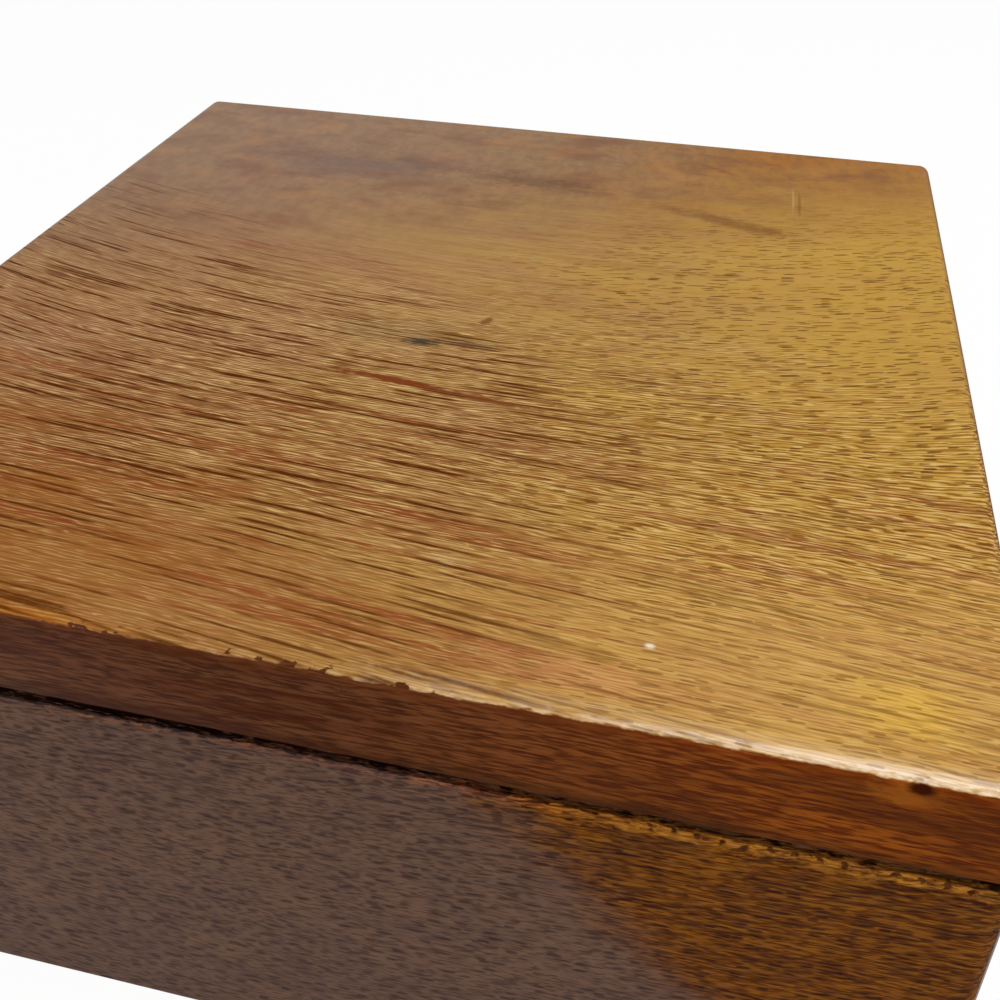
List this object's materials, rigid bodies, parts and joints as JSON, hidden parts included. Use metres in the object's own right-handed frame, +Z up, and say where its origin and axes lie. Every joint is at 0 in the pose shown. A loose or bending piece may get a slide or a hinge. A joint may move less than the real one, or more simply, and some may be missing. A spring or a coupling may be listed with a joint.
{
  "type": "hinged wooden box",
  "caption": "Shallow rectangular keepsake box of oiled hardwood: mitred case with a let-in bottom, and a flat slab lid that swings up on brass butt hinges at the back.",
  "frame": {"origin": "on the table, under the middle of the shut box with its hinge barrels", "axes": "+X to the right seen from the front, +Y from the front to the hinged back, +Z up"},
  "size_m": [0.16, 0.182, 0.064],
  "materials": {
    "lid_wood": "satin oil, honey brown open-pored hardwood",
    "wall_wood": "satin oil, red-brown open-pored hardwood",
    "bottom_wood": "matt, bare hardwood",
    "hinge_brass": "satin, lightly tarnished",
    "pin_steel": "drawn wire",
    "screw_brass": "satin, slotted"
  },
  "bodies": {
    "case": {"front_wall": "wall_wood", "back_wall": "wall_wood", "left_wall": "wall_wood", "right_wall": "wall_wood", "bottom_panel": "bottom_wood", "hinge_leaf_case_left": "hinge_brass", "hinge_leaf_case_right": "hinge_brass", "hinge_pin_left": "pin_steel", "hinge_pin_right": "pin_steel", "case_screw_1": "screw_brass", "case_screw_2": "screw_brass", "case_screw_3": "screw_brass", "case_screw_4": "screw_brass"},
    "lid": {"lid_panel": "lid_wood", "hinge_leaf_lid_left": "hinge_brass", "hinge_leaf_lid_right": "hinge_brass", "lid_screw_1": "screw_brass", "lid_screw_2": "screw_brass", "lid_screw_3": "screw_brass", "lid_screw_4": "screw_brass"}
  },
  "joints": [
    {"name": "lid_hinge", "type": "hinge", "parent": "case", "child": "lid", "pos_m": [0, 0.08924, 0.0516], "axis": [-1, 0, 0], "range_deg": [0, 180]}
  ]
}
